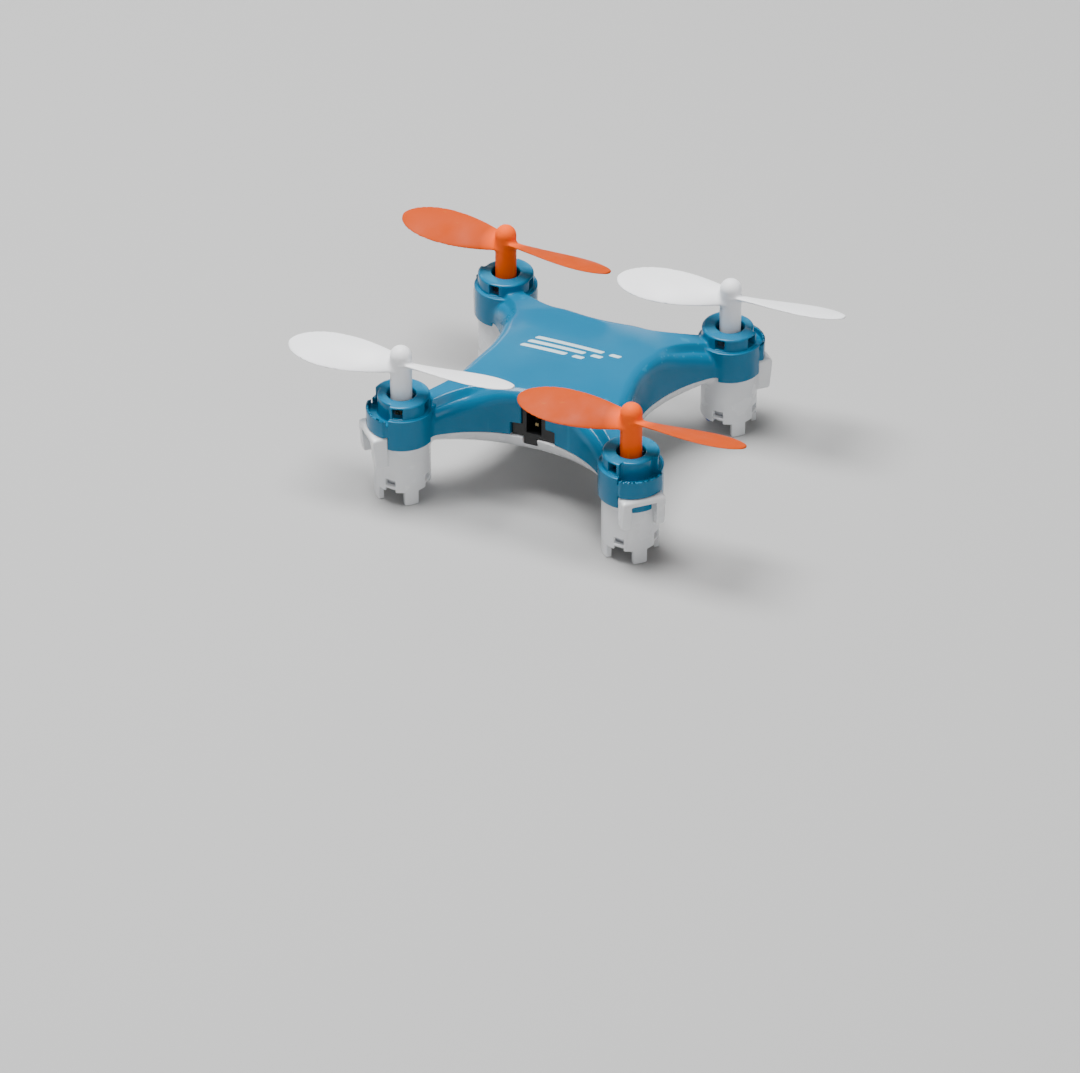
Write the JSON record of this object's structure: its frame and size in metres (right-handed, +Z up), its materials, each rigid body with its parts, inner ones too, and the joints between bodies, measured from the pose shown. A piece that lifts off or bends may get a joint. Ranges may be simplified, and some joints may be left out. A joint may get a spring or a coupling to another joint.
{
  "type": "mini palm drone",
  "caption": "Palm-size quadrotor with a waisted two-shell body, motor barrels at the corners and two-blade push-on propellers.",
  "frame": {"origin": "on the ground, under the middle of the four groups of feet", "axes": "+X to the right, +Y to the rear (the charging socket is on the -Y side), +Z up"},
  "size_m": [0.0628, 0.043, 0.022],
  "materials": {
    "canopy_blue": "moulded, high gloss",
    "shell_white": "moulded, high gloss",
    "propeller_orange": "moulded, satin gloss",
    "propeller_white": "moulded, satin gloss",
    "screw_steel": "zinc plated",
    "board_green": "solder mask over glass fibre",
    "chip_black": "moulded epoxy",
    "crystal_can": "nickel plated",
    "capacitor_tan": "ceramic",
    "led_blue": "clear epoxy",
    "led_red": "clear epoxy",
    "cell_foil": "laminated pouch foil",
    "foam_grey": "closed-cell foam tape",
    "wire_red": "silicone",
    "wire_black": "silicone",
    "wire_motor": "enamelled insulation",
    "socket_black": "moulded nylon",
    "contact_gold": "gold flashed",
    "switch_shell": "pressed shell",
    "switch_black": "moulded nylon",
    "motor_steel": "drawn steel can",
    "magnet_grey": "nickel plated neodymium",
    "end_cap_white": "moulded nylon",
    "bush_brass": "sintered bronze",
    "coil_copper": "enamelled copper winding",
    "shaft_steel": "ground steel"
  },
  "bodies": {
    "airframe": {"top_canopy": "canopy_blue", "bottom_shell": "shell_white", "shell_screws": "screw_steel", "circuit_board": "board_green", "flight_controller_chip": "chip_black", "gyro_chip": "chip_black", "radio_chip": "chip_black", "radio_crystal": "crystal_can", "motor_transistors": "chip_black", "board_capacitors": "capacitor_tan", "led_front_left": "led_blue", "led_front_right": "led_blue", "led_rear_left": "led_red", "led_rear_right": "led_red", "battery_cell": "cell_foil", "battery_foam_pad": "foam_grey", "battery_lead_red": "wire_red", "battery_lead_black": "wire_black", "charging_socket": "socket_black", "charging_contacts": "contact_gold", "switch_housing": "switch_shell", "motor_can_front_left": "motor_steel", "motor_can_front_right": "motor_steel", "motor_can_rear_left": "motor_steel", "motor_can_rear_right": "motor_steel", "motor_magnet_front_left": "magnet_grey", "motor_magnet_front_right": "magnet_grey", "motor_magnet_rear_left": "magnet_grey", "motor_magnet_rear_right": "magnet_grey", "motor_end_cap_front_left": "end_cap_white", "motor_end_cap_front_right": "end_cap_white", "motor_end_cap_rear_left": "end_cap_white", "motor_end_cap_rear_right": "end_cap_white", "motor_leads_front_left": "wire_motor", "motor_leads_front_right": "wire_motor", "motor_leads_rear_left": "wire_motor", "motor_leads_rear_right": "wire_motor", "motor_bushes": "bush_brass", "motor_brushes": "contact_gold"},
    "rotor_front_left": {"propeller_front_left": "propeller_white", "motor_shaft_front_left": "shaft_steel", "motor_coil_front_left": "coil_copper"},
    "rotor_front_right": {"propeller_front_right": "propeller_orange", "motor_shaft_front_right": "shaft_steel", "motor_coil_front_right": "coil_copper"},
    "rotor_rear_left": {"propeller_rear_left": "propeller_orange", "motor_shaft_rear_left": "shaft_steel", "motor_coil_rear_left": "coil_copper"},
    "rotor_rear_right": {"propeller_rear_right": "propeller_white", "motor_shaft_rear_right": "shaft_steel", "motor_coil_rear_right": "coil_copper"},
    "power_switch": {"switch_slider": "switch_black"}
  },
  "joints": [
    {"name": "propeller_front_left_spin", "type": "hinge", "parent": "airframe", "child": "rotor_front_left", "pos_m": [-0.016, -0.016, 0.0193], "axis": [0, 0, 1], "continuous": true},
    {"name": "propeller_front_right_spin", "type": "hinge", "parent": "airframe", "child": "rotor_front_right", "pos_m": [0.016, -0.016, 0.0193], "axis": [0, 0, 1], "continuous": true},
    {"name": "propeller_rear_left_spin", "type": "hinge", "parent": "airframe", "child": "rotor_rear_left", "pos_m": [-0.016, 0.016, 0.0193], "axis": [0, 0, 1], "continuous": true},
    {"name": "propeller_rear_right_spin", "type": "hinge", "parent": "airframe", "child": "rotor_rear_right", "pos_m": [0.016, 0.016, 0.0193], "axis": [0, 0, 1], "continuous": true},
    {"name": "power_switch_slide", "type": "slide", "parent": "airframe", "child": "power_switch", "axis": [1, 0, 0], "range_m": [0, 0.0015]}
  ]
}
